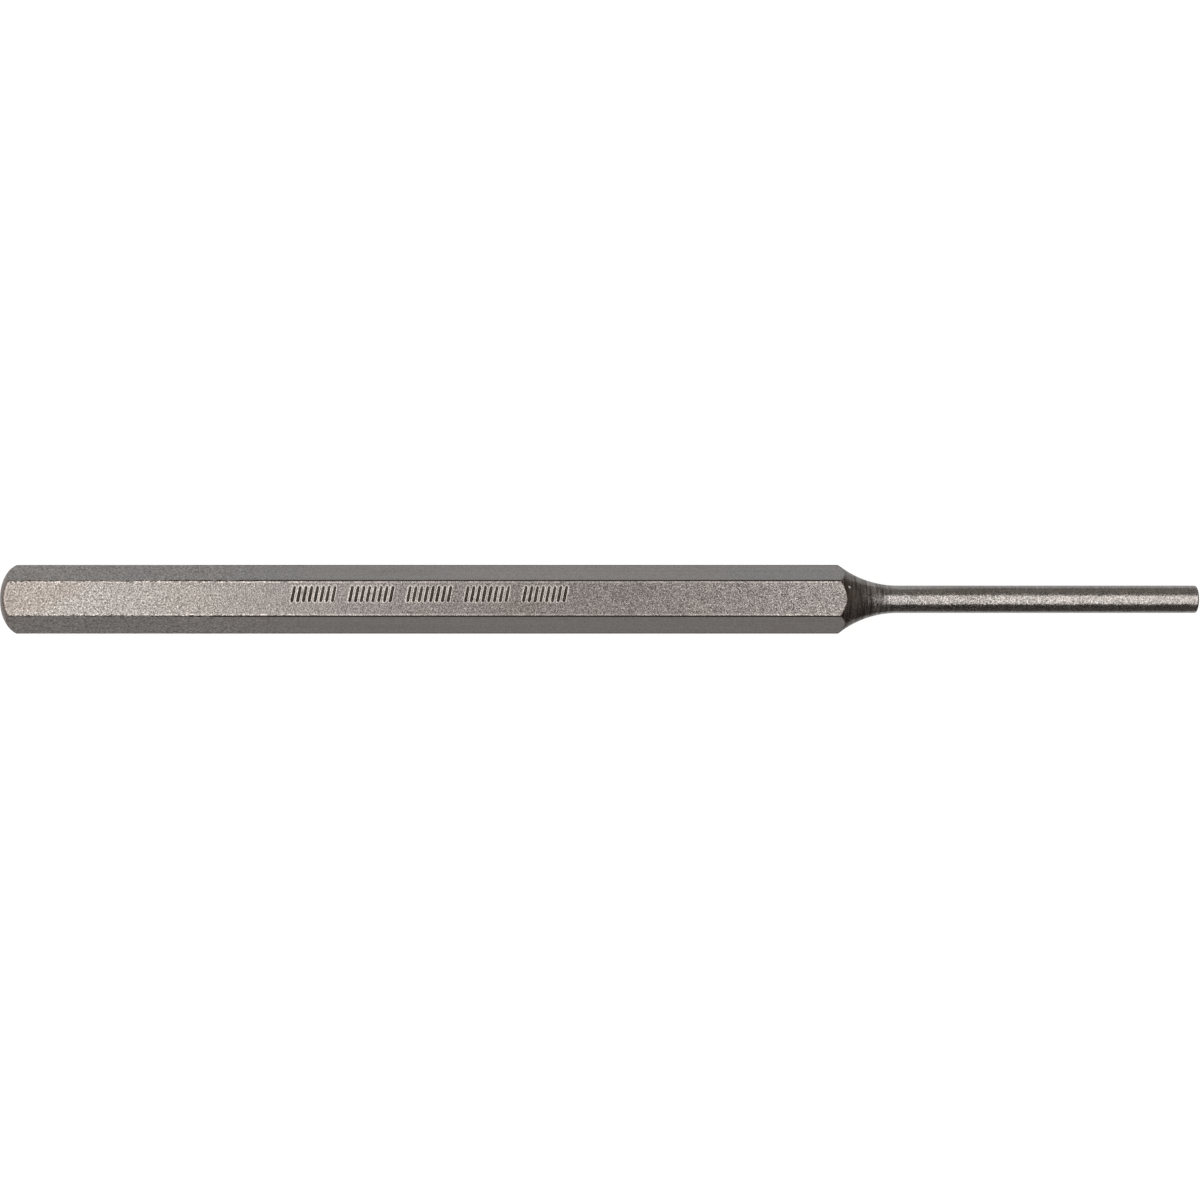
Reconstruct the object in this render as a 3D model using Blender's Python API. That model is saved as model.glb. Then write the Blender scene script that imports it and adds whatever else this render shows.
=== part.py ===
"""A pin punch: one length of hexagonal tool steel with both ends turned on a lathe.

The tool lies along X on one of its flats, with the striking head at -X and the pin at +X.
Its middle is over the origin and the flat it lies on is at z = 0. Everything is in metres.
"""

import math

import bmesh
import bpy

INCH = 0.0254

# The stock.
OVERALL_LENGTH = 5 * INCH
ACROSS_FLATS = 0.0064
LONG_EDGE_RADIUS = 0.00022

# The striking head: a small flat face, and an arc that runs from it to the flats.
HEAD_FACE_RADIUS = 0.00105
HEAD_ARC_RADIUS = 0.0032

# The pin, its hollow shoulder and its tip.
PIN_LENGTH = 1.25 * INCH
PIN_RADIUS = 0.00146
SHOULDER_ARC_RADIUS = 0.0103
TIP_EDGE_RADIUS = 0.00015

# The lathe's blank is wider than the bar's corners, so it leaves the middle of the bar alone.
BLANK_RADIUS = 0.0041
STOCK_SPARE = 0.005

# How finely round shapes are cut into flat faces.
TURNING_STEPS = 72
HEAD_ARC_STEPS = 14
SHOULDER_ARC_STEPS = 16
TIP_EDGE_STEPS = 3
LONG_EDGE_STEPS = 4
SMOOTH_BELOW = math.radians(30)

HEAD_END = -OVERALL_LENGTH / 2
TIP_END = OVERALL_LENGTH / 2
AXIS_HEIGHT = ACROSS_FLATS / 2


def clear_scene():
    for thing in list(bpy.data.objects):
        bpy.data.objects.remove(thing, do_unlink=True)


def arc(centre, radius, start, end, steps):
    """Points (along, out) on an arc, from the angle start to the angle end, counted from the +X direction."""
    angles = [start + (end - start) * step / steps for step in range(steps + 1)]
    return [(centre[0] + radius * math.cos(a), centre[1] + radius * math.sin(a)) for a in angles]


def tip_profile():
    """The tip's flat face and the small round on its edge."""
    centre = (TIP_END - TIP_EDGE_RADIUS, PIN_RADIUS - TIP_EDGE_RADIUS)
    return [(TIP_END, 0)] + arc(centre, TIP_EDGE_RADIUS, 0, math.pi / 2, TIP_EDGE_STEPS)


def shoulder_profile():
    """The hollow arc that leaves the pin along its side and runs out past the bar's corners."""
    centre = (TIP_END - PIN_LENGTH, PIN_RADIUS + SHOULDER_ARC_RADIUS)
    rise = BLANK_RADIUS - PIN_RADIUS
    sweep = math.acos(1 - rise / SHOULDER_ARC_RADIUS)
    return arc(centre, SHOULDER_ARC_RADIUS, -math.pi / 2, -math.pi / 2 - sweep, SHOULDER_ARC_STEPS)


def head_profile():
    """The arc that runs in from past the bar's corners, and the flat face that takes the hammer."""
    centre = (HEAD_END + HEAD_ARC_RADIUS, HEAD_FACE_RADIUS)
    sweep = math.asin((BLANK_RADIUS - HEAD_FACE_RADIUS) / HEAD_ARC_RADIUS)
    return arc(centre, HEAD_ARC_RADIUS, math.pi - sweep, math.pi, HEAD_ARC_STEPS) + [(HEAD_END, 0)]


def turned_form():
    """What the lathe would leave of a fat round blank, as a cutter: the profile spun about X."""
    profile = tip_profile() + shoulder_profile() + head_profile()
    mesh = bpy.data.meshes.new("turned_form")
    points = [(along, 0, out) for along, out in profile]
    mesh.from_pydata(points, [(i, i + 1) for i in range(len(points) - 1)], [])
    form = bpy.data.objects.new("turned_form", mesh)
    bpy.context.collection.objects.link(form)
    form.location.z = AXIS_HEIGHT
    screw = form.modifiers.new("spin", "SCREW")
    screw.axis = "X"
    screw.angle = 2 * math.pi
    screw.steps = TURNING_STEPS
    screw.render_steps = TURNING_STEPS
    screw.use_merge_vertices = True
    screw.merge_threshold = 1e-6
    form.hide_render = True
    form.display_type = "WIRE"
    return form


def hexagon_outline():
    """Points (y, z) round the bar: six flats, the first facing up, with a small round on each long edge."""
    corner_centre = (ACROSS_FLATS / 2 - LONG_EDGE_RADIUS) / math.cos(math.pi / 6)
    points = []
    for corner in range(6):
        direction = math.radians(60 * corner)
        centre = (corner_centre * math.cos(direction), corner_centre * math.sin(direction))
        start, end = direction - math.pi / 6, direction + math.pi / 6
        points += arc(centre, LONG_EDGE_RADIUS, start, end, LONG_EDGE_STEPS)
    return points


def hexagonal_bar():
    """The stock, a little longer than the tool, so that the turned form makes both of its ends."""
    shape = bmesh.new()
    start = HEAD_END - STOCK_SPARE
    ring = [shape.verts.new((start, y, z)) for y, z in hexagon_outline()]
    end_face = shape.faces.new(ring)
    pushed = bmesh.ops.extrude_face_region(shape, geom=[end_face])["geom"]
    moved = [item for item in pushed if isinstance(item, bmesh.types.BMVert)]
    bmesh.ops.translate(shape, verts=moved, vec=(OVERALL_LENGTH + 2 * STOCK_SPARE, 0, 0))
    bmesh.ops.recalc_face_normals(shape, faces=shape.faces)
    mesh = bpy.data.meshes.new("hexagonal_bar")
    shape.to_mesh(mesh)
    shape.free()
    bar = bpy.data.objects.new("hexagonal_bar", mesh)
    bpy.context.collection.objects.link(bar)
    bar.location.z = AXIS_HEIGHT
    return bar


def blasted_steel():
    """Bare hardened steel, bead blasted to an even warm grey."""
    material = bpy.data.materials.new("blasted_steel")
    material.use_nodes = True
    shader = material.node_tree.nodes["Principled BSDF"]
    shader.inputs["Base Color"].default_value = (0.21, 0.2, 0.192, 1)
    shader.inputs["Metallic"].default_value = 1.0
    shader.inputs["Roughness"].default_value = 0.45
    return material


def pin_punch():
    """The bar, kept only where it lies inside the turned form."""
    bar = hexagonal_bar()
    form = turned_form()
    turning = bar.modifiers.new("turning", "BOOLEAN")
    turning.operation = "INTERSECT"
    turning.solver = "EXACT"
    turning.object = form
    graph = bpy.context.evaluated_depsgraph_get()
    mesh = bpy.data.meshes.new_from_object(bar.evaluated_get(graph))
    mesh.name = "pin_punch"
    punch = bpy.data.objects.new("pin_punch", mesh)
    bpy.context.collection.objects.link(punch)
    punch.location = bar.location
    bpy.data.objects.remove(bar, do_unlink=True)
    bpy.data.objects.remove(form, do_unlink=True)
    mesh.shade_smooth()
    mesh.set_sharp_from_angle(angle=SMOOTH_BELOW)
    mesh.materials.clear()
    mesh.materials.append(blasted_steel())
    return punch


clear_scene()
pin_punch()
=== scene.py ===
"""The looks of a pin punch: one fine mesh of the whole tool, its steel, and a pale studio.

Everything is in metres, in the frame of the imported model: the tool lies along X on one flat,
with its striking head at -X and its pin at +X.
"""

import math

import bpy
import numpy as np
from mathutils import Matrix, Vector


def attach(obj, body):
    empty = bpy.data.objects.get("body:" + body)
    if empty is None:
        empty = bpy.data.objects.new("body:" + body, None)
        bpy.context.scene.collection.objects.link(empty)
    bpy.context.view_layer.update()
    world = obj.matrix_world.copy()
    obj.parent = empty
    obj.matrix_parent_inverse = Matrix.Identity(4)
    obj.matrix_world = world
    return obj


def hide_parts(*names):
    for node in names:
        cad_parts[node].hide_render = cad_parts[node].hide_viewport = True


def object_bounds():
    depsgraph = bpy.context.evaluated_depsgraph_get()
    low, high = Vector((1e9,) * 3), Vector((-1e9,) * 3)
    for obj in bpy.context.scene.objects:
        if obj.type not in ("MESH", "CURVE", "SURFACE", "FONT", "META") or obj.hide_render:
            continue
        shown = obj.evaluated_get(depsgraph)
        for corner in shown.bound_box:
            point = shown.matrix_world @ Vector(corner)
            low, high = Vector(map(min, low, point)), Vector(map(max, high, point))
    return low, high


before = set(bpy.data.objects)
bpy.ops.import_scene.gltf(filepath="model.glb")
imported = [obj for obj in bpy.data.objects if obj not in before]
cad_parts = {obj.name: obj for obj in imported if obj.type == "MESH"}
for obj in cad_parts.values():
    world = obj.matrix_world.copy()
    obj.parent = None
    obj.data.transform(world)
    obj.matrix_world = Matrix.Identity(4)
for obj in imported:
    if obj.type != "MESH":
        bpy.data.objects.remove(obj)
CAD_LOW, CAD_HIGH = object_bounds()

# The tool's overall sizes, from the frame.
HEAD_END = CAD_LOW.x
TIP_END = CAD_HIGH.x
ACROSS_FLATS = CAD_HIGH.z - CAD_LOW.z
AXIS_HEIGHT = (CAD_HIGH.z + CAD_LOW.z) / 2

# Its other driving sizes, as the CAD model has them.
LONG_EDGE_RADIUS = 0.00022
HEAD_FACE_RADIUS = 0.00105
HEAD_ARC_RADIUS = 0.0032
PIN_LENGTH = 0.03175
PIN_RADIUS = 0.00146
SHOULDER_ARC_RADIUS = 0.0103
TIP_EDGE_RADIUS = 0.00015
PIN_FOOT = TIP_END - PIN_LENGTH

# The creases between the turned ends and the bar's flats are rounded over this distance.
CREASE_SOFTNESS = 0.00007

# The upper and lower flats have a painted highlight on a rim all round: along the inner part of each long
# edge, and more faintly at both ends. The outer part of each long edge, which leans away from them by
# more than DARK_EDGE_LEAN, has painted shade, and so does a narrow strip of the flats beyond it.
LONG_RIM_HIGHLIGHT = 0.7
END_RIM_HIGHLIGHT = 0.25
RIM_WIDTH = 0.00012
DARK_EDGE_LEAN = math.radians(27)
DARK_EDGE_SPREAD = 0.00006

# How finely the mesh is divided.
SIDE_STEPS = 20
LONG_EDGE_STEPS = 8
HEAD_ARC_ROWS = 22
SHOULDER_ROWS = 48
CREASE_ROWS = 5
PIN_ROWS = 12
ROWS_BEFORE_MARKS = 4
ROWS_AFTER_MARKS = 6
MARK_CELL = 0.00005
MARK_CELLS_PER_COLUMN = 4

# Where rows of vertices start and stop. The face rings are shares of the face's radius, the gaps on
# the two arcs are in radians, and the clearances keep the bar's own rows away from its turned ends.
HEAD_FACE_RINGS = (0.33, 0.66, 0.97)
TIP_FACE_RINGS = (1, 0.6, 0.3)
HEAD_ARC_START = 0.02
HEAD_ARC_GAP = 0.015
SHOULDER_ARC_GAP = 0.006
HEAD_CLEARANCE = 0.0022
SHOULDER_CLEARANCE = 0.0072
TIP_SUPPORT_GAP = 0.00004
LEVEL_TOLERANCE = 1e-7

# The row of plain slanted strokes stamped in the upper flat. A stroke loses the share STROKE_FADE of
# its depth towards +Y, and it and its burr stay within STROKE_REACH of its middle. A groove is a V at
# a fullness of 1, and rounder below that.
MARK_START = -0.0325
MARK_END = -0.0033
MARK_MIDDLE_Y = 0.00046
MARK_HEIGHT = 0.0014
MARK_MARGIN = 0.0003
MARK_GROUPS = 5
STROKES_PER_GROUP = 8
GROUP_GAP_IN_STROKES = 2.0
STROKE_SLANT = 0.00028
STROKE_HALF_WIDTH = 0.00014
STROKE_DEPTH = 0.00012
STROKE_FADE = 0.4
STROKE_REACH = STROKE_SLANT + 4 * STROKE_HALF_WIDTH
GROOVE_FULLNESS = 0.6

# How unevenly the strokes were struck: their force is a wave over the groups and the strokes.
STROKE_UNEVENNESS = 0.15
WAVE_PER_GROUP = 2.1
WAVE_PER_STROKE = 0.7

# The burr that stands beside each stroke.
BURR_PLACE = 1.4 * STROKE_HALF_WIDTH
BURR_WIDTH = 0.00007
BURR_HEIGHT = 0.00001

# A small bright nick on the edge where the shoulder starts.
NICK = Vector((0.0263, 0.0012, 0.00597))
NICK_RADIUS = 0.00018
NICK_DEPTH = 0.00005


# --- The shape -------------------------------------------------------------------------------


def arc_points(centre, radius, start, end, steps):
    """Points on an arc, from the angle start to the angle end."""
    angles = np.linspace(start, end, steps + 1)
    return [(centre[0] + radius * math.cos(a), centre[1] + radius * math.sin(a)) for a in angles]


def hexagon_outline():
    """Points (y, z) round the bar, from its axis: a small round on each long edge, then a flat.

    Returns the points, and for each one what it is on: "dark_edge", "rim" or "flat".
    """
    corner_centre = (ACROSS_FLATS / 2 - LONG_EDGE_RADIUS) / math.cos(math.pi / 6)
    flat_width = corner_centre  # A regular hexagon's side is as long as its corners are far out.
    inside = list(np.linspace(RIM_WIDTH, flat_width - RIM_WIDTH, SIDE_STEPS + 1))
    points, kinds = [], []
    for corner in range(6):
        direction = math.radians(60 * corner)
        centre = (corner_centre * math.cos(direction), corner_centre * math.sin(direction))
        start, end = direction - math.pi / 6, direction + math.pi / 6
        points += arc_points(centre, LONG_EDGE_RADIUS, start, end, LONG_EDGE_STEPS)
        for angle in np.linspace(start, end, LONG_EDGE_STEPS + 1):
            # An edge that leans away from the upper and lower flats gets painted shade, the rest a painted
            # highlight.
            leans_away = abs(math.sin(angle)) < math.cos(DARK_EDGE_LEAN)
            kinds.append("dark_edge" if leans_away else "rim")
        edge_end = Vector(points[-1])
        run = Vector((-math.sin(end), math.cos(end)))
        along_flat = [DARK_EDGE_SPREAD] + inside + [flat_width - DARK_EDGE_SPREAD]
        points += [tuple(edge_end + run * along) for along in along_flat]
        beside_edge = "rim" if is_level(ACROSS_FLATS / 2 * math.sin(end)) else "dark_edge"
        kinds += [beside_edge] + ["flat"] * len(inside) + [beside_edge]
    return points, kinds


def is_level(z):
    """Whether a place at that height from the axis is on the upper or the lower flat."""
    return abs(z) > ACROSS_FLATS / 2 - LEVEL_TOLERANCE


def head_arc_angle(reach):
    """Where the head's arc gets to that distance from the axis, as an angle from its flat face."""
    return math.asin((reach - HEAD_FACE_RADIUS) / HEAD_ARC_RADIUS)


def head_point(angle):
    """A point (x, distance from the axis) on the head's arc."""
    x = HEAD_END + HEAD_ARC_RADIUS * (1 - math.cos(angle))
    return x, HEAD_FACE_RADIUS + HEAD_ARC_RADIUS * math.sin(angle)


def shoulder_angle(reach):
    """Where the shoulder's arc gets to that distance from the axis, as an angle from the pin."""
    return math.acos(1 - (reach - PIN_RADIUS) / SHOULDER_ARC_RADIUS)


def shoulder_point(angle):
    """A point (x, distance from the axis) on the shoulder's hollow arc."""
    x = PIN_FOOT - SHOULDER_ARC_RADIUS * math.sin(angle)
    return x, PIN_RADIUS + SHOULDER_ARC_RADIUS * (1 - math.cos(angle))


def shoulder_share(x):
    """How far up the shoulder a place is: 0 at the pin, 1 at the bar's flats."""
    top = shoulder_point(shoulder_angle(ACROSS_FLATS / 2))[0]
    return min(1.0, max(0.0, (PIN_FOOT - x) / (PIN_FOOT - top)))


def soft_corner(before, corner, after):
    """A small curve in place of a sharp corner, as a quadratic Bezier."""
    rows = []
    for t in np.linspace(0, 1, CREASE_ROWS):
        a, b, c = (1 - t) ** 2, 2 * t * (1 - t), t**2
        rows.append(tuple(a * p + b * q + c * r for p, q, r in zip(before, corner, after)))
    return rows


def body_stations():
    """Places along the bar where every column has a vertex. None is inside the stamped strokes."""
    first = HEAD_END + HEAD_CLEARANCE
    last = PIN_FOOT - SHOULDER_CLEARANCE
    rows_before = np.linspace(first, MARK_START - MARK_MARGIN, ROWS_BEFORE_MARKS)
    rows_after = np.linspace(MARK_END + MARK_MARGIN, last, ROWS_AFTER_MARKS)
    return list(rows_before) + list(rows_after)


def head_rows(reach):
    """The head's part of a column: parts of (surface, points), and where the bar starts."""
    corner_angle = head_arc_angle(reach)
    last_angle = corner_angle - CREASE_SOFTNESS / HEAD_ARC_RADIUS
    angles = np.linspace(HEAD_ARC_START, last_angle - HEAD_ARC_GAP, HEAD_ARC_ROWS)
    corner = (head_point(corner_angle)[0], reach)
    bar_start = (corner[0] + CREASE_SOFTNESS, reach)
    parts = [
        ("head_face", [(HEAD_END, HEAD_FACE_RADIUS * share) for share in HEAD_FACE_RINGS]),
        ("head", [head_point(angle) for angle in angles]),
        ("head_crease", soft_corner(head_point(last_angle), corner, bar_start)),
    ]
    return parts, bar_start[0]


def shoulder_rows(reach):
    """The shoulder's part of a column: parts of (surface, points), and where the bar stops."""
    corner_angle = shoulder_angle(reach)
    first_angle = corner_angle - CREASE_SOFTNESS / SHOULDER_ARC_RADIUS
    angles = np.linspace(first_angle - SHOULDER_ARC_GAP, 0, SHOULDER_ROWS)
    corner = (shoulder_point(corner_angle)[0], reach)
    bar_end = (corner[0] - CREASE_SOFTNESS, reach)
    parts = [
        ("shoulder_crease", soft_corner(bar_end, corner, shoulder_point(first_angle))),
        ("shoulder", [shoulder_point(angle) for angle in angles]),
    ]
    return parts, bar_end[0]


def pin_rows():
    """The pin's part of a column, from its foot to its flat tip, as parts of (surface, points)."""
    pin_end = TIP_END - TIP_EDGE_RADIUS - TIP_SUPPORT_GAP
    edge_centre = (TIP_END - TIP_EDGE_RADIUS, PIN_RADIUS - TIP_EDGE_RADIUS)
    face_radius = PIN_RADIUS - TIP_EDGE_RADIUS - TIP_SUPPORT_GAP
    return [
        ("pin", [(x, PIN_RADIUS) for x in np.linspace(PIN_FOOT, pin_end, PIN_ROWS)[1:]]),
        ("tip_edge", arc_points(edge_centre, TIP_EDGE_RADIUS, math.pi / 2, 0, CREASE_ROWS)),
        ("tip_face", [(TIP_END, face_radius * share) for share in TIP_FACE_RINGS]),
    ]


def column_path(reach):
    """Points (x, distance from the axis) along one column, from the head's face to the tip's.

    reach is how far the bar's own surface is from the axis in that column's direction.
    Returns the points, and for each the name of the surface that it is on.
    """
    head, bar_start = head_rows(reach)
    shoulder, bar_end = shoulder_rows(reach)
    rim = (RIM_WIDTH / 2, RIM_WIDTH)
    bar = [bar_start + 2 * RIM_WIDTH] + body_stations() + [bar_end - 2 * RIM_WIDTH]
    parts = head + [
        ("rim", [(bar_start + along, reach) for along in rim]),
        ("bar", [(x, reach) for x in bar]),
        ("rim", [(bar_end - along, reach) for along in reversed(rim)]),
    ] + shoulder + pin_rows()
    path = [point for surface, points in parts for point in points]
    surfaces = [surface for surface, points in parts for _ in points]
    return path, surfaces


def strokes():
    """Both ends of each stamped stroke, as (x, y), and how hard it was struck."""
    slots = MARK_GROUPS * STROKES_PER_GROUP + (MARK_GROUPS - 1) * GROUP_GAP_IN_STROKES
    pitch = (MARK_END - MARK_START) / slots
    for group in range(MARK_GROUPS):
        for stroke in range(STROKES_PER_GROUP):
            slots_before = group * (STROKES_PER_GROUP + GROUP_GAP_IN_STROKES) + stroke
            x = MARK_START + (slots_before + 0.5) * pitch
            wave = math.sin(WAVE_PER_GROUP * group + WAVE_PER_STROKE * stroke)
            force = 1 + STROKE_UNEVENNESS * (wave - 1)
            low = (x - STROKE_SLANT / 2, MARK_MIDDLE_Y - MARK_HEIGHT / 2)
            high = (x + STROKE_SLANT / 2, MARK_MIDDLE_Y + MARK_HEIGHT / 2)
            yield low, high, force


def stamping(x, y):
    """How far the strokes go down at the points x, y (arrays), and how much burr stands beside them."""
    depth = np.zeros_like(x)
    burr = np.zeros_like(x)
    for low, high, force in strokes():
        near = np.abs(x - (low[0] + high[0]) / 2) < STROKE_REACH
        px, py = x[near], y[near]
        run = np.array((high[0] - low[0], high[1] - low[1]))
        share = ((px - low[0]) * run[0] + (py - low[1]) * run[1]) / (run @ run)
        share = np.clip(share, 0, 1)
        away = np.hypot(px - low[0] - share * run[0], py - low[1] - share * run[1])
        hollow = np.clip(1 - away / STROKE_HALF_WIDTH, 0, 1) ** GROOVE_FULLNESS
        groove = STROKE_DEPTH * force * (1 - STROKE_FADE * share) * hollow
        depth[near] = np.maximum(depth[near], groove)
        ridge = np.exp(-(((away - BURR_PLACE) / BURR_WIDTH) ** 2))
        burr[near] = np.maximum(burr[near], np.where(groove > 0, 0, ridge))
    return depth, burr


class PunchMesh:
    """Collects the punch's vertices and faces: columns all round, rows from head to tip.

    Each vertex is marked with how far it is on an edge with painted shade, on a rim with a painted
    highlight, down in a stamped stroke, on the head, up the shoulder, and in the nick.
    """

    MARKS = ("dark_edge", "rim", "stamped", "head", "shoulder", "nick")

    def __init__(self):
        self.points = []
        self.marks = {name: [] for name in self.MARKS}
        self.faces = []
        self.face_surface = []

    def vertex(self, point, **marks):
        """Adds a vertex and returns its index. Marks that aren't given are 0."""
        self.points.append(point)
        for name, values in self.marks.items():
            values.append(marks.get(name, 0.0))
        return len(self.points) - 1

    def face(self, corners, surface):
        self.faces.append(corners)
        self.face_surface.append(surface)


def rim_highlight_share(surface, kind, level):
    """How much painted highlight a vertex's rim has."""
    if surface in ("rim", "bar") and kind == "rim":
        return LONG_RIM_HIGHLIGHT
    if surface == "rim" and level:
        return END_RIM_HIGHLIGHT
    return 0.0


def add_column(mesh, y, z, kind):
    """One column of vertices, through the point y, z of the bar's outline. Returns their indices."""
    reach = math.hypot(y, z)
    column = []
    for (x, out), surface in zip(*column_path(reach)):
        point = Vector((x, out * y / reach, AXIS_HEIGHT + out * z / reach))
        nick = math.exp(-(((point - NICK).length / NICK_RADIUS) ** 2))
        point.z -= NICK_DEPTH * nick
        marks = {
            "dark_edge": float(surface in ("rim", "bar") and kind == "dark_edge"),
            "rim": rim_highlight_share(surface, kind, is_level(z)),
            "head": float(surface in ("head_face", "head", "head_crease")),
            "shoulder": shoulder_share(x) if surface in ("shoulder_crease", "shoulder") else 0.0,
            "nick": nick,
        }
        column.append(mesh.vertex(point, **marks))
    return column


def mark_patch_place(outline, row_surface):
    """The first and last column, and the first row, of the part of the upper flat divided finely."""
    inside = [
        i for i, (y, z) in enumerate(outline)
        if z > 0 and is_level(z) and abs(y - MARK_MIDDLE_Y) < MARK_HEIGHT / 2 + MARK_MARGIN
    ]
    first_bar_row = row_surface.index("bar")
    return inside[0] - 1, inside[-1] + 1, first_bar_row + ROWS_BEFORE_MARKS


def build_punch():
    """The whole tool as one closed mesh."""
    outline, kinds = hexagon_outline()
    mesh = PunchMesh()
    columns = [add_column(mesh, y, z, kind) for (y, z), kind in zip(outline, kinds)]
    row_surface = column_path(ACROSS_FLATS / 2)[1]
    patch = add_mark_patch(mesh, columns, *mark_patch_place(outline, row_surface))
    add_sides(mesh, columns, row_surface, patch)
    add_ends(mesh, columns)
    return mesh


def add_mark_patch(mesh, columns, left, right, row):
    """A fine grid over part of the upper flat, with the stamped strokes pressed into it."""
    corner = mesh.points[columns[left][row]]
    across = mesh.points[columns[right][row]] - corner
    along = mesh.points[columns[left][row + 1]] - corner
    steps_across = (right - left) * MARK_CELLS_PER_COLUMN
    steps_along = round(along.length / MARK_CELL)
    grid = np.zeros((steps_along + 1, steps_across + 1), int)
    i, j = np.meshgrid(np.arange(steps_along + 1), np.arange(steps_across + 1), indexing="ij")
    x = corner.x + along.x * i / steps_along
    y = corner.y + across.y * j / steps_across
    depth, burr = stamping(x, y)
    border = (i == 0) | (i == steps_along) | (j == 0) | (j == steps_across)
    depth[border] = burr[border] = 0
    for a in range(steps_along + 1):
        for b in range(steps_across + 1):
            shared_row = {0: row, steps_along: row + 1}.get(a)
            if shared_row is not None and b % MARK_CELLS_PER_COLUMN == 0:
                grid[a, b] = columns[left + b // MARK_CELLS_PER_COLUMN][shared_row]
                continue
            point = (x[a, b], y[a, b], corner.z - depth[a, b] + BURR_HEIGHT * burr[a, b])
            # The burr is marked as rim, so it takes the rims' painted highlight.
            grid[a, b] = mesh.vertex(point, stamped=depth[a, b] / STROKE_DEPTH, rim=burr[a, b])
    for a in range(steps_along):
        for b in range(steps_across):
            corners = (grid[a, b], grid[a, b + 1], grid[a + 1, b + 1], grid[a + 1, b])
            mesh.face([int(c) for c in corners], "bar")
    return {"grid": grid, "left": left, "right": right, "row": row}


def chain_between(patch, column, row, next_column, next_row):
    """The patch's border vertices strictly between two of the coarse vertices, in that order."""
    grid, left, right, first = patch["grid"], patch["left"], patch["right"], patch["row"]
    on_side = column == next_column and column in (left, right) and {row, next_row} == {first, first + 1}
    on_end = (
        row == next_row and row in (first, first + 1)
        and left <= min(column, next_column) and max(column, next_column) <= right
    )
    if on_side:
        line = grid[1:-1, 0 if column == left else -1]
        return [int(v) for v in (line if next_row > row else line[::-1])]
    if on_end:
        start = (min(column, next_column) - left) * MARK_CELLS_PER_COLUMN
        line = grid[0 if row == first else -1, start + 1:start + MARK_CELLS_PER_COLUMN]
        return [int(v) for v in (line if next_column > column else line[::-1])]
    return []


def add_sides(mesh, columns, row_surface, patch):
    """Faces between neighbouring columns, row by row, that meet the fine patch vertex to vertex."""
    count = len(columns)
    for column in range(count):
        beside = (column + 1) % count
        for row in range(len(row_surface) - 1):
            if row == patch["row"] and patch["left"] <= column < patch["right"]:
                continue
            surface = row_surface[row + 1] if row_surface[row] == "head_crease" else row_surface[row]
            loop = [(column, row), (beside, row), (beside, row + 1), (column, row + 1)]
            corners = []
            for here, there in zip(loop, loop[1:] + loop[:1]):
                corners.append(columns[here[0]][here[1]])
                corners += chain_between(patch, *here, *there)
            mesh.face(corners, surface)


def add_ends(mesh, columns):
    """The middle of the head's face and of the tip's face."""
    head = mesh.vertex((HEAD_END, 0, AXIS_HEIGHT))
    tip = mesh.vertex((TIP_END, 0, AXIS_HEIGHT))
    for column, here in enumerate(columns):
        beside = columns[(column + 1) % len(columns)]
        mesh.face([head, beside[0], here[0]], "head_face")
        mesh.face([tip, here[-1], beside[-1]], "tip_face")


def punch_object(flats, turned):
    """The mesh as an object, with its two materials and its marks as attributes."""
    shape = build_punch()
    mesh = bpy.data.meshes.new("punch_steel")
    mesh.from_pydata(shape.points, [], shape.faces)
    for name, values in shape.marks.items():
        mesh.attributes.new(name, "FLOAT", "POINT").data.foreach_set("value", np.array(values, np.float32))
    mesh.materials.append(flats)
    mesh.materials.append(turned)
    slots = [0 if surface in ("rim", "bar") else 1 for surface in shape.face_surface]
    mesh.polygons.foreach_set("material_index", slots)
    mesh.shade_smooth()
    mesh.update()
    punch = bpy.data.objects.new("punch_steel", mesh)
    bpy.context.scene.collection.objects.link(punch)
    return punch


# --- Materials -------------------------------------------------------------------------------

# Noise scales are per metre, and stretched noise has one for each axis. A noise's spread is the span
# of its values that is used. Most noise runs from about 0.3 to 0.7.
NOISE_SPREAD = (0.3, 0.7)

# The steel's own colour drifts between the first two, in soft patches, and is multiplied by a tone.
# The specular tint is for grazing angles.
WARM_STEEL = (0.205, 0.197, 0.190, 1)
COOL_STEEL = (0.198, 0.193, 0.190, 1)
MOTTLE_SCALE = 110
MOTTLE_SPREAD = (0.35, 0.65)
FLATS_TONE = (1.0, 1.0, 1.0, 1)
TURNED_TONE = (1.16, 1.19, 1.19, 1)
SPECULAR_TINT = (0.75, 0.75, 0.75, 1)

# Blasting leaves a surface of tiny facets, each with its own shade, polish and tilt. On the upper and
# lower flats the facets' shades are stronger than on the sides, partly as painted glints.
FLATS_ROUGHNESS = 0.31
TURNED_ROUGHNESS = 0.25
GRAIN_SCALE = 7000
GRAIN_DEPTH = 0.00001
SPECKLE_SCALE = 12000
SPECKLE_AND_GLINT_COLOUR = 0.45
SIDE_SPECKLE = 0.15
LEVEL_SPAN = (0.6, 0.9)
SPECKLE_ROUGHNESS = 0.25
FACET_TILT = 0.10
SHOULDER_FACET_TILT = 0.03
SMOOTH_SHOULDER_SPAN = (0, 0.6)

# Towards the head the blasting is coarser, from nowhere at the second of these x to fully at the
# first. There the steel is blotched, with a tone of its own, and its long edges are ragged.
COARSE_SPAN = (-0.040, -0.028)
COARSE_TONE = (0.985, 1.0, 0.98, 1)
BLOTCH_SCALE = 5000
BLOTCH_COLOUR = 0.45
RAGGED_SCALE = 2600
RAGGED_TILT = 2.2

# The upper and lower flats are blotched round MIDDLE_X too, as painted glints: by this share up to
# the first of these distances from it, and not at all beyond the second.
MIDDLE_X = -0.017
MIDDLE_REACH = (0.010, 0.036)
MIDDLE_GLINT_BLOTCHES = 0.85

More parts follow.
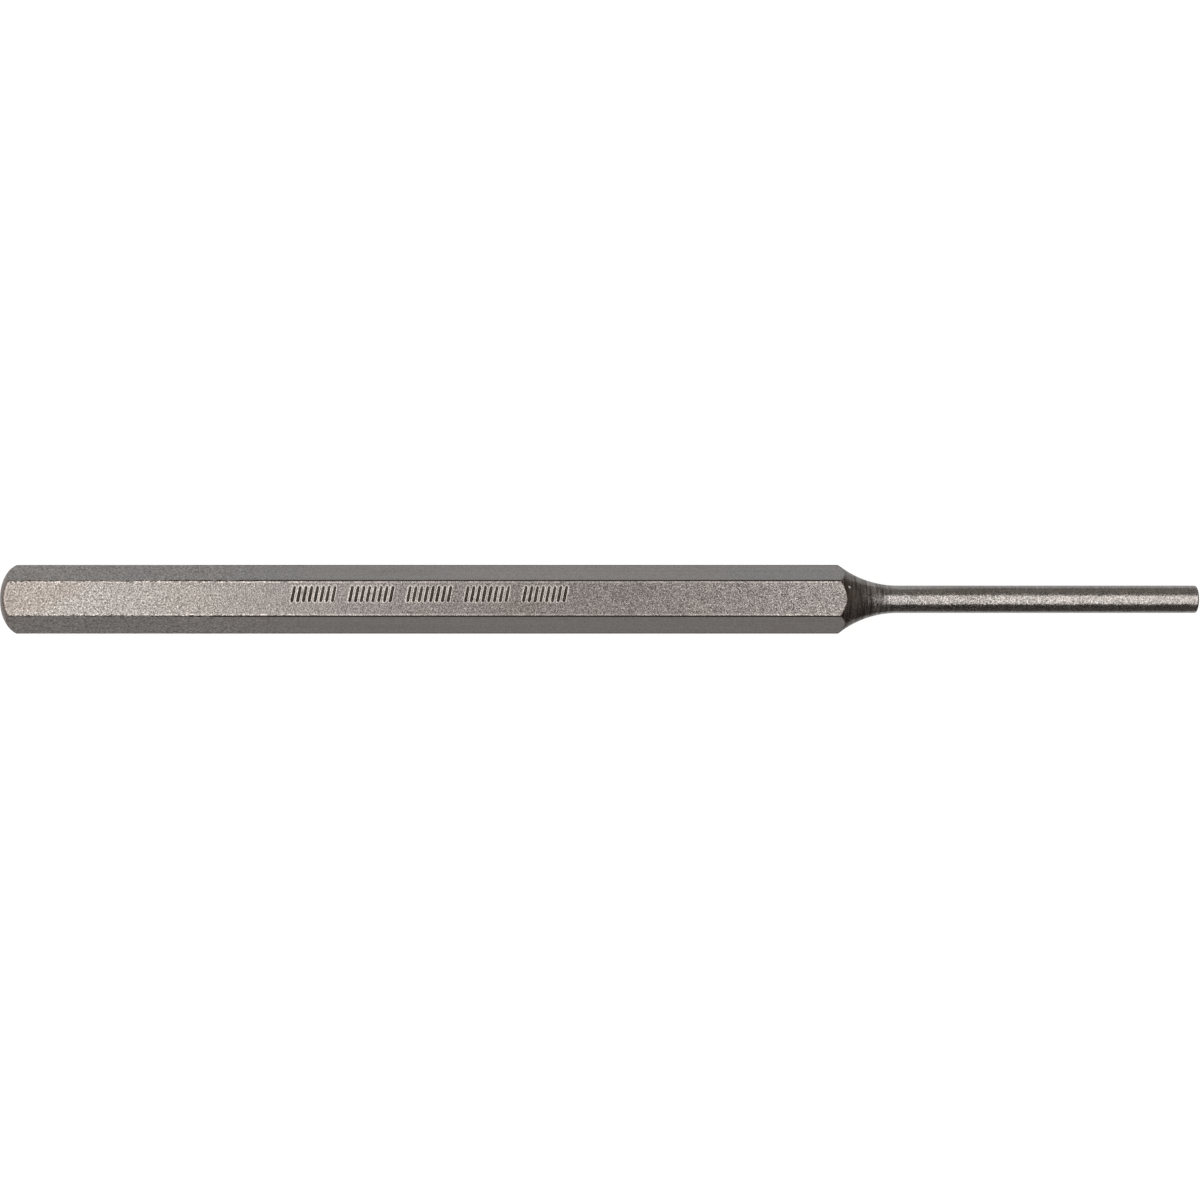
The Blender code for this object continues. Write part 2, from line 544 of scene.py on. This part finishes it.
# Lines along the bar from drawing it, and rings round its ends from the lathe. The rings show most
# on the shoulder.
DRAWN_SCALES = (30, 4500, 4500)
DRAWN_LINES = 0.05
RING_SCALES = (5000, 300, 300)
RING_RELIEF_SCALES = (9000, 60, 60)
RING_LINES = 0.80
RING_SPAN = (0, 0.4)
PIN_RING_SHARE = 0.1

# Rust haze in long patches.
RUST_HAZE = (0.135, 0.108, 0.088, 1)
HAZE_SCALES = (90, 260, 260)
HAZE_SPREAD = (0.55, 0.75)
HAZE_MOST = 0.4

# The painted highlights on the rims are patchy, and the painted shade on the long edges fades out
# in places, most of all near the head.
PAINTED_RIM_HIGHLIGHT = (0.42, 0.405, 0.39, 1)
RIM_PATCH_SCALE = 1400
RIM_PATCH_SPREAD = (0.35, 0.6)
RIM_LEAST = 0.35
PAINTED_EDGE_SHADE = (0.036, 0.030, 0.027, 1)
EDGE_PATCH_SCALE = 900
EDGE_PATCH_SPREAD = (0.35, 0.6)
FAINT_EDGE_SPAN = (-0.048, -0.030)
FAINT_EDGE_SHIFT = (-0.15, 0.3)

# Other marks, and how much of the colour each takes over at most.
HEAT_TINT = (0.125, 0.09, 0.078, 1)
HEAT_MOST = 0.5
# Oxide up the shoulder, partly painted shade: darkest at the crease with the bar, fading out at the pin.
OXIDE_AND_PAINTED_SHADE = (0.042, 0.028, 0.021, 1)
OXIDE_AND_SHADE_MOST = 0.75
# Painted shade down in the stamped strokes, darkest where they are deep.
STROKE_PAINTED_SHADE = (0.035, 0.028, 0.024, 1)
STROKE_SHADE_SPAN = (0.03, 0.3)
STROKE_SHADE_MOST = 0.95
FRESH_METAL = (0.75, 0.73, 0.71, 1)
FRESH_METAL_ROUGHNESS = 0.7
NICK_SPAN = (0.35, 0.7)


class Nodes:
    """A short way to write a node tree. Most methods make a node and return what comes out of it."""

    def __init__(self, tree):
        self.tree = tree

    def add(self, kind, inputs=(), **settings):
        """The node itself. An input is given a number, a colour, or another node's socket."""
        node = self.tree.nodes.new(kind)
        for key, value in settings.items():
            setattr(node, key, value)
        for key, value in dict(inputs).items():
            self.put(value, node.inputs[key])
        return node

    def put(self, value, socket):
        """Links another node's socket to this one, or sets its value."""
        if isinstance(value, bpy.types.NodeSocket):
            self.tree.links.new(value, socket)
        else:
            socket.default_value = value

    def place(self):
        """Where the shaded point is, in the tool's own frame."""
        return self.add("ShaderNodeTexCoord").outputs["Object"]

    def part(self, vector, axis):
        return self.add("ShaderNodeSeparateXYZ", {0: vector}).outputs[axis]

    def attribute(self, name):
        return self.add("ShaderNodeAttribute", attribute_name=name).outputs["Fac"]

    def math(self, operation, first, second=0.0):
        return self.add("ShaderNodeMath", {0: first, 1: second}, operation=operation).outputs[0]

    def vectors(self, operation, first, second=(0, 0, 0)):
        """Arithmetic on vectors. For SCALE the second is a number, and DOT_PRODUCT returns one."""
        inputs = {0: first, "Scale" if operation == "SCALE" else 1: second}
        node = self.add("ShaderNodeVectorMath", inputs, operation=operation)
        return node.outputs["Value" if operation == "DOT_PRODUCT" else "Vector"]

    def centred(self, colour):
        """A random colour as a vector that may point any way."""
        return self.vectors("SUBTRACT", colour, (0.5, 0.5, 0.5))

    def between(self, value, span, low, high):
        """The value's span as a range from low to high, and no further."""
        inputs = {"Value": value, "From Min": span[0], "From Max": span[1], "To Min": low, "To Max": high}
        return self.add("ShaderNodeMapRange", inputs).outputs["Result"]

    def noise(self, place, scale, detail=2.0, roughness=0.5):
        """Smooth noise around 0.5."""
        inputs = {"Vector": place, "Scale": scale, "Detail": detail, "Roughness": roughness}
        return self.add("ShaderNodeTexNoise", inputs).outputs["Fac"]

    def stretched_noise(self, place, scales, detail):
        """Noise with a scale for each axis."""
        stretched = self.add("ShaderNodeMapping", {"Vector": place, "Scale": scales}).outputs["Vector"]
        return self.noise(stretched, 1.0, detail)

    def blend(self, share, first, second, blend_type="MIX"):
        """The first colour, with that share of the second mixed in."""
        node = self.add("ShaderNodeMix", data_type="RGBA", blend_type=blend_type)
        for name, value in (("Factor_Float", share), ("A_Color", first), ("B_Color", second)):
            self.put(value, next(s for s in node.inputs if s.identifier == name))
        return next(s for s in node.outputs if s.identifier == "Result_Color")

    def shade(self, colour, amount):
        """The colour times 1 plus the amount."""
        factor = self.math("ADD", amount, 1.0)
        grey = self.add("ShaderNodeCombineColor", {"Red": factor, "Green": factor, "Blue": factor})
        return self.blend(1.0, colour, grey.outputs[0], "MULTIPLY")


def blotchiness(nodes, place, coarse, level):
    """How blotched the steel is: fully where coarse, and round the level flats' middle as painted glints.
    """
    from_middle = nodes.math("ABSOLUTE", nodes.math("SUBTRACT", nodes.part(place, "X"), MIDDLE_X))
    middle = nodes.between(from_middle, MIDDLE_REACH, MIDDLE_GLINT_BLOTCHES, 0)
    return nodes.math("MAXIMUM", coarse, nodes.math("MULTIPLY", level, middle))


def blasted_colour(nodes, place, facet, coarse):
    """Mottled steel, with a shade for each facet, and with blotches and its own tone where it is coarse."""
    mottle = nodes.between(nodes.noise(place, MOTTLE_SCALE, detail=4.0, roughness=0.6), MOTTLE_SPREAD, 0, 1)
    colour = nodes.blend(mottle, WARM_STEEL, COOL_STEEL)
    outward = nodes.add("ShaderNodeTexCoord").outputs["Normal"]
    level = nodes.math("ABSOLUTE", nodes.part(outward, "Z"))
    level = nodes.between(level, LEVEL_SPAN, 0, 1)
    # The upper and lower flats' stronger speckle is partly blasted grain and partly painted glints.
    most = nodes.between(level, (0, 1), SIDE_SPECKLE, SPECKLE_AND_GLINT_COLOUR)
    colour = nodes.shade(colour, nodes.math("MULTIPLY", nodes.between(facet, (0, 1), -1, 1), most))
    blotch = nodes.noise(place, BLOTCH_SCALE, detail=1.0)
    blotch = nodes.between(blotch, NOISE_SPREAD, -BLOTCH_COLOUR, BLOTCH_COLOUR)
    colour = nodes.shade(colour, nodes.math("MULTIPLY", blotch, blotchiness(nodes, place, coarse, level)))
    return nodes.blend(nodes.math("MULTIPLY", coarse, level), colour, COARSE_TONE, "MULTIPLY")


def drawn_texture(nodes, place):
    """The flats: faint lengthwise lines in the shade, and only the blasted grain in the relief."""
    lines = nodes.stretched_noise(place, DRAWN_SCALES, detail=2.0)
    return nodes.between(lines, NOISE_SPREAD, -DRAWN_LINES, DRAWN_LINES), blasted_relief(nodes, place)


def turned_texture(nodes, place):
    """The turned ends: rings in the shade and in the relief."""
    lines = nodes.stretched_noise(place, RING_SCALES, detail=1.0)
    lines = nodes.between(lines, NOISE_SPREAD, -RING_LINES, RING_LINES)
    share = nodes.between(nodes.attribute("shoulder"), RING_SPAN, PIN_RING_SHARE, 1)
    rings = nodes.stretched_noise(place, RING_RELIEF_SCALES, detail=1.0)
    return nodes.math("MULTIPLY", lines, share), nodes.math("ADD", blasted_relief(nodes, place), rings)


def blasted_relief(nodes, place):
    """The even pitting that bead blasting leaves, as a height."""
    return nodes.noise(place, GRAIN_SCALE, detail=0.0)


def with_haze(nodes, colour, place):
    """Long patches of rust haze."""
    patches = nodes.stretched_noise(place, HAZE_SCALES, detail=3.0)
    return nodes.blend(nodes.between(patches, HAZE_SPREAD, 0, HAZE_MOST), colour, RUST_HAZE)


def with_rim_highlights(nodes, colour, place):
    """Painted highlights on the rims and burrs, brighter in some patches than in others."""
    patches = nodes.noise(place, RIM_PATCH_SCALE, detail=3.0)
    patches = nodes.between(patches, RIM_PATCH_SPREAD, RIM_LEAST, 1)
    return nodes.blend(nodes.math("MULTIPLY", nodes.attribute("rim"), patches), colour, PAINTED_RIM_HIGHLIGHT)


def with_edge_shade(nodes, colour, place):
    """Painted shade as dark lines along the long edges, which have gaps, most of all near the head."""
    shift = nodes.between(nodes.part(place, "X"), FAINT_EDGE_SPAN, *FAINT_EDGE_SHIFT)
    patches = nodes.math("ADD", nodes.noise(place, EDGE_PATCH_SCALE), shift)
    share = nodes.between(patches, EDGE_PATCH_SPREAD, 0, 1)
    return nodes.blend(nodes.math("MULTIPLY", nodes.attribute("dark_edge"), share), colour, PAINTED_EDGE_SHADE)


def with_tint_and_shoulder_shade(nodes, colour):
    """The head browned by use, and oxide with painted shade up the shoulder."""
    colour = nodes.blend(nodes.math("MULTIPLY", nodes.attribute("head"), HEAT_MOST), colour, HEAT_TINT)
    return nodes.blend(nodes.math("MULTIPLY", nodes.attribute("shoulder"), OXIDE_AND_SHADE_MOST), colour, OXIDE_AND_PAINTED_SHADE)


def with_stroke_shade(nodes, colour):
    """Painted shade down in the stamped strokes."""
    stroke_shade = nodes.between(nodes.attribute("stamped"), STROKE_SHADE_SPAN, 0, STROKE_SHADE_MOST)
    return nodes.blend(stroke_shade, colour, STROKE_PAINTED_SHADE)


def nicked(nodes):
    """1 in the nick, 0 elsewhere."""
    return nodes.between(nodes.attribute("nick"), NICK_SPAN, 0, 1)


def faceted_normal(nodes, place, cells, coarse):
    """The surface's normal, tilted a little by each facet, and more along a ragged edge."""
    tilt = nodes.between(nodes.attribute("shoulder"), SMOOTH_SHOULDER_SPAN, FACET_TILT, SHOULDER_FACET_TILT)
    lean = nodes.vectors("SCALE", nodes.centred(cells), tilt)
    noise = nodes.add("ShaderNodeTexNoise", {"Vector": place, "Scale": RAGGED_SCALE, "Detail": 1.0})
    edge = nodes.math("MAXIMUM", nodes.attribute("dark_edge"), nodes.attribute("rim"))
    ragged = nodes.math("MULTIPLY", edge, coarse)
    ragged = nodes.math("MULTIPLY", ragged, RAGGED_TILT)
    swing = nodes.vectors("SCALE", nodes.centred(noise.outputs["Color"]), ragged)
    facing = nodes.add("ShaderNodeNewGeometry").outputs["Normal"]
    return nodes.vectors("NORMALIZE", nodes.vectors("ADD", nodes.vectors("ADD", lean, swing), facing))


def steel(name, tone, roughness, texture):
    """Blasted steel. texture(nodes, place) gives its pattern of lines, as a shade, and its relief."""
    material = bpy.data.materials.new(name)
    material.use_nodes = True
    shader = material.node_tree.nodes["Principled BSDF"]
    nodes = Nodes(material.node_tree)
    place = nodes.place()
    coarse = nodes.between(nodes.part(place, "X"), COARSE_SPAN, 1, 0)
    cells = nodes.add("ShaderNodeTexVoronoi", {"Vector": place, "Scale": SPECKLE_SCALE}).outputs["Color"]
    facet = nodes.add("ShaderNodeSeparateColor", {0: cells}).outputs
    lines, relief = texture(nodes, place)

    colour = nodes.shade(blasted_colour(nodes, place, facet["Red"], coarse), lines)
    colour = with_haze(nodes, nodes.blend(1.0, colour, tone, "MULTIPLY"), place)
    colour = with_edge_shade(nodes, with_rim_highlights(nodes, colour, place), place)
    colour = with_stroke_shade(nodes, with_tint_and_shoulder_shade(nodes, colour))
    nodes.put(nodes.blend(nicked(nodes), colour, FRESH_METAL), shader.inputs["Base Color"])

    dull, polished = roughness + SPECKLE_ROUGHNESS, roughness - SPECKLE_ROUGHNESS
    rough = nodes.between(facet["Green"], (0, 1), dull, polished)
    fresh = nodes.math("MULTIPLY", nicked(nodes), FRESH_METAL_ROUGHNESS)
    nodes.put(nodes.math("MAXIMUM", rough, fresh), shader.inputs["Roughness"])

    normal = faceted_normal(nodes, place, cells, coarse)
    bump = {"Height": relief, "Strength": 1.0, "Distance": GRAIN_DEPTH, "Normal": normal}
    nodes.put(nodes.add("ShaderNodeBump", bump).outputs["Normal"], shader.inputs["Normal"])
    shader.inputs["Metallic"].default_value = 1.0
    shader.inputs["Specular Tint"].default_value = SPECULAR_TINT
    return material


def studio_material(name, colour, glow, tint=(1, 1, 1, 1)):
    """One dull colour with a glow, for things that aren't part of the tool."""
    material = bpy.data.materials.new(name)
    material.use_nodes = True
    shader = material.node_tree.nodes["Principled BSDF"]
    shader.inputs["Base Color"].default_value = colour
    shader.inputs["Roughness"].default_value = 1.0
    shader.inputs["Emission Color"].default_value = tint
    shader.inputs["Emission Strength"].default_value = glow
    return material


# --- Studio ----------------------------------------------------------------------------------

# The camera is above the upper flat, leaning a hair to the -Y side.
CAMERA_AIM = Vector((0.00003, -0.00008, AXIS_HEIGHT))
CAMERA_DISTANCE = 0.2204
CAMERA_LEAN = math.radians(1.7)
CAMERA_LENS = 62.04
SENSOR_WIDTH = 36.0
CLIP_START = 0.01
CLIP_END = 100

# The floor is a lit table.
FLOOR_SIZE = 60.0
FLOOR_DROP = 0.00002
FLOOR_COLOUR = (0.15, 0.15, 0.15, 1)
FLOOR_GLOW = 0.90

# Soft lights that face down. Each has two opposite corners as seen from above, its height and its
# radiance. A wide dim one covers the tool, two bright ones are over its ends, and a faint strip
# bridges the darker part between them.
LIGHT_TINT = (1.0, 0.93, 0.905)
LIGHTS = {
    "softbox": ((-0.50, -0.52), (0.36, 0.37), 0.62, 0.32),
    "key_left": ((-0.50, -0.52), (-0.125, 0.37), 0.60, 3.0),
    "key_right": ((0.10, -0.52), (0.36, 0.37), 0.60, 2.70),
    "bridge": ((-0.08, -0.52), (-0.01, 0.37), 0.58, 0.42),
}

# Cards on the floor that only reflections see: a grey one along the bar's -Y side, and darker ones
# on both sides of the pin. Each has two opposite corners, its glow and the glow's tint.
CARD_LIFT = 0.00005
CARD_COLOUR = (0.056, 0.046, 0.041, 1)
CARDS = {
    "grey_card": ((-0.20, -0.20), (0.030, -0.0045), 0.71, (1, 0.975, 0.96, 1)),
    "dark_card": ((0.030, -0.40), (0.40, -0.0072), 0.04, (1, 0.80, 0.74, 1)),
    "dim_card": ((0.040, 0.0140), (0.40, 0.40), 0.24, (1, 0.84, 0.76, 1)),
}

# The room is pale to the camera. Reflections see walls that darken towards -Y and +X, a soft window
# at +X, and a soft light in each corner, where x times y is greatest: bright at -X and faint at +X.
ROOM_SEEN = (0.95, 0.95, 0.95, 1)
WALL_TINT = (1, 0.88, 0.80)
WALL_SPAN = (-0.5, 1.0)
WALL_LIGHT = (0.07, 0.42)
END_WALL_SPAN = (0.3, 0.8)
END_WALL_LIGHT = (1.0, 0.45)
WINDOW = (0.924, 0, 0.383)
WINDOW_SPAN = (0.80, 1.0)
WINDOW_LIGHT = 0.38
CORNER_SPAN = (0.20, 0.40)
CORNER_SIDE_SPAN = (-0.3, 0.3)
CORNER_LIGHT = (0.9, 0.15)


def add_camera():
    """The camera, above the upper flat and aimed down at it."""
    data = bpy.data.cameras.new("camera")
    data.lens = CAMERA_LENS
    data.sensor_width = SENSOR_WIDTH
    data.clip_start = CLIP_START
    data.clip_end = CLIP_END
    camera = bpy.data.objects.new("camera", data)
    bpy.context.scene.collection.objects.link(camera)
    away = Vector((0, -math.sin(CAMERA_LEAN), math.cos(CAMERA_LEAN)))
    camera.location = CAMERA_AIM + away * CAMERA_DISTANCE
    camera.rotation_euler = (CAMERA_LEAN, 0, 0)
    bpy.context.scene.camera = camera


def add_rectangle(name, low, high, height, material):
    """A level sheet of the studio, over the rectangle from low to high (x, y)."""
    corners = [(low[0], low[1]), (high[0], low[1]), (high[0], high[1]), (low[0], high[1])]
    mesh = bpy.data.meshes.new(name)
    mesh.from_pydata([(x, y, height) for x, y in corners], [], [(0, 1, 2, 3)])
    mesh.materials.append(material)
    sheet = bpy.data.objects.new(name, mesh)
    bpy.context.scene.collection.objects.link(sheet)
    return sheet


def add_floor():
    """The light table, a hair under the punch."""
    half = FLOOR_SIZE / 2
    table = studio_material("light_table", FLOOR_COLOUR, FLOOR_GLOW)
    add_rectangle("floor", (-half, -half), (half, half), -FLOOR_DROP, table)


def add_cards():
    """The cards, which neither the camera nor dull surfaces see."""
    for name, (low, high, glow, tint) in CARDS.items():
        material = studio_material(name, CARD_COLOUR, glow, tint)
        card = add_rectangle(name, low, high, CARD_LIFT, material)
        card.visible_camera = False
        card.visible_diffuse = False
        card.visible_shadow = False


def add_lights():
    """The soft lights over the tool, which the camera doesn't see."""
    for name, (low, high, height, radiance) in LIGHTS.items():
        light = bpy.data.lights.new(name, "AREA")
        light.shape = "RECTANGLE"
        light.size = high[0] - low[0]
        light.size_y = high[1] - low[1]
        light.energy = radiance * math.pi * light.size * light.size_y
        light.color = LIGHT_TINT
        box = bpy.data.objects.new(name, light)
        bpy.context.scene.collection.objects.link(box)
        box.location = ((low[0] + high[0]) / 2, (low[1] + high[1]) / 2, height)
        box.visible_camera = False


def add_room():
    """The room's walls and lights, as a colour for each direction."""
    room = bpy.data.worlds.new("room")
    bpy.context.scene.world = room
    room.use_nodes = True
    nodes = Nodes(room.node_tree)
    direction = nodes.add("ShaderNodeTexCoord").outputs["Generated"]
    wall = nodes.between(nodes.part(direction, "Y"), WALL_SPAN, *WALL_LIGHT)
    end_wall = nodes.between(nodes.part(direction, "X"), END_WALL_SPAN, *END_WALL_LIGHT)
    wall = nodes.math("MULTIPLY", wall, end_wall)
    window = nodes.between(nodes.vectors("DOT_PRODUCT", direction, WINDOW), WINDOW_SPAN, 0, WINDOW_LIGHT)
    corner = nodes.math("MULTIPLY", nodes.part(direction, "X"), nodes.part(direction, "Y"))
    corner = nodes.between(nodes.math("ABSOLUTE", corner), CORNER_SPAN, 0, 1)
    side = nodes.between(nodes.part(direction, "X"), CORNER_SIDE_SPAN, *CORNER_LIGHT)
    corner = nodes.math("MULTIPLY", corner, side)
    light = nodes.math("ADD", nodes.math("ADD", wall, window), corner)
    tone = nodes.vectors("SCALE", WALL_TINT, light)
    seen = nodes.blend(nodes.add("ShaderNodeLightPath").outputs["Is Camera Ray"], tone, ROOM_SEEN)
    nodes.put(seen, room.node_tree.nodes["Background"].inputs["Color"])


# --- The scene -------------------------------------------------------------------------------

bpy.context.scene.view_settings.view_transform = "Standard"
add_camera()
add_floor()
add_cards()
add_lights()
add_room()

flats = steel("blasted_flats", FLATS_TONE, FLATS_ROUGHNESS, drawn_texture)
turned = steel("turned_ends", TURNED_TONE, TURNED_ROUGHNESS, turned_texture)
punch = punch_object(flats, turned)
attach(punch, "root")
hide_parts("pin_punch")
